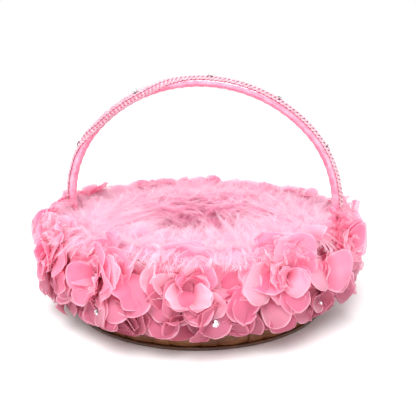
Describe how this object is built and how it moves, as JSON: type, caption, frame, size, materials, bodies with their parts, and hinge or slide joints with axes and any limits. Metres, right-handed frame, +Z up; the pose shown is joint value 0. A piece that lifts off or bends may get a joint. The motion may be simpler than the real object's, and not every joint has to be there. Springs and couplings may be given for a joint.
{
  "type": "flower girl basket",
  "caption": "Round flared basket with a fixed arched handle, a feather-trimmed mouth and soft chiffon flowers all round, for carrying loose petals at a wedding.",
  "frame": {"origin": "centre of the foot ring's underside, on the surface that the basket stands on", "axes": "+Z up; the handle arches along X; -Y is the front, where the braid twists to face the viewer on the -X side"},
  "size_m": [0.31, 0.31, 0.21],
  "materials": {
    "bowl_wood": "stained splints under a thin satin varnish",
    "lining_satin": "polyester satin, soft sheen",
    "feather": "dyed marabou down, matte and fine",
    "rod_wood": "bare cane rod, sealed under the ribbon",
    "handle_ribbon": "satin ribbon wound tight, bright along the middle",
    "braid": "gimp braid with scalloped edges",
    "crystal": "clear cut glass with a silvered back",
    "nail_steel": "plain steel nails",
    "felt": "pressed felt discs",
    "chiffon_upper": "double chiffon petals with heat-cut edges",
    "chiffon_lower": "double chiffon petals with heat-cut edges"
  },
  "bodies": {
    "root": {"base_board": "bowl_wood", "foot_ring": "bowl_wood", "woven_wall": "bowl_wood", "rim_hoop": "bowl_wood", "satin_liner": "lining_satin", "liner_floor": "lining_satin", "feather_trim_back": "feather", "feather_trim_front": "feather", "handle_core": "rod_wood", "handle_satin": "handle_ribbon", "handle_braid": "braid", "handle_rhinestones": "crystal", "handle_nails": "nail_steel", "flower_backings": "felt", "flower_rhinestones": "crystal", "flower_upper_01": "chiffon_upper", "flower_upper_02": "chiffon_upper", "flower_upper_03": "chiffon_upper", "flower_upper_04": "chiffon_upper", "flower_upper_05": "chiffon_upper", "flower_upper_06": "chiffon_upper", "flower_upper_07": "chiffon_upper", "flower_upper_08": "chiffon_upper", "flower_upper_09": "chiffon_upper", "flower_upper_10": "chiffon_upper", "flower_upper_11": "chiffon_upper", "flower_upper_12": "chiffon_upper", "flower_lower_01": "chiffon_lower", "flower_lower_02": "chiffon_lower", "flower_lower_03": "chiffon_lower", "flower_lower_04": "chiffon_lower", "flower_lower_05": "chiffon_lower", "flower_lower_06": "chiffon_lower", "flower_lower_07": "chiffon_lower", "flower_lower_08": "chiffon_lower", "flower_lower_09": "chiffon_lower", "flower_lower_10": "chiffon_lower"}
  },
  "joints": []
}
